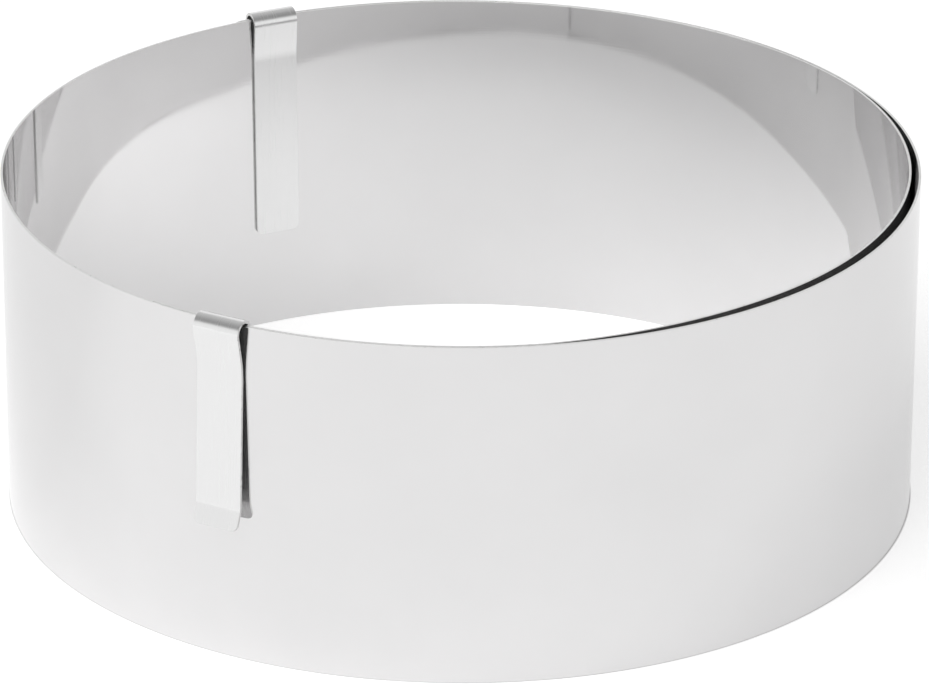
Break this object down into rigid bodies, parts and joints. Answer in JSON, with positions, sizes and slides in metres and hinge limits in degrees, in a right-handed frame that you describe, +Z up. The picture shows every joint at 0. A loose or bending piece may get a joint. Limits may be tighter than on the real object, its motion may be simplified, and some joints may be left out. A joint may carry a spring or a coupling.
{
  "type": "adjustable cake ring",
  "caption": "Bottomless round cake ring wound from one long polished steel strip, set to size by sliding its ends and held by spring clips over the rim.",
  "frame": {"origin": "on the ring's axis, at the surface that the ring stands on", "axes": "+Z up along the ring's axis, -Y towards the front of the picture, +X to its right"},
  "size_m": [0.184, 0.184, 0.0711],
  "materials": {
    "band_steel": "mirror-polished stainless steel sheet",
    "clip_steel": "satin stainless steel sheet"
  },
  "bodies": {
    "band": {"ring_band": "band_steel"},
    "front_clip": {"front_clip": "clip_steel"},
    "rear_clip": {"rear_clip": "clip_steel"}
  },
  "joints": [
    {"name": "front_clip_travel", "type": "hinge", "parent": "band", "child": "front_clip", "pos_m": [0, 0, 0], "axis": [0, 0, 1], "range_deg": [-7, 36]},
    {"name": "rear_clip_travel", "type": "hinge", "parent": "band", "child": "rear_clip", "pos_m": [0, 0, 0], "axis": [0, 0, 1], "range_deg": [-88, 1.4]}
  ]
}
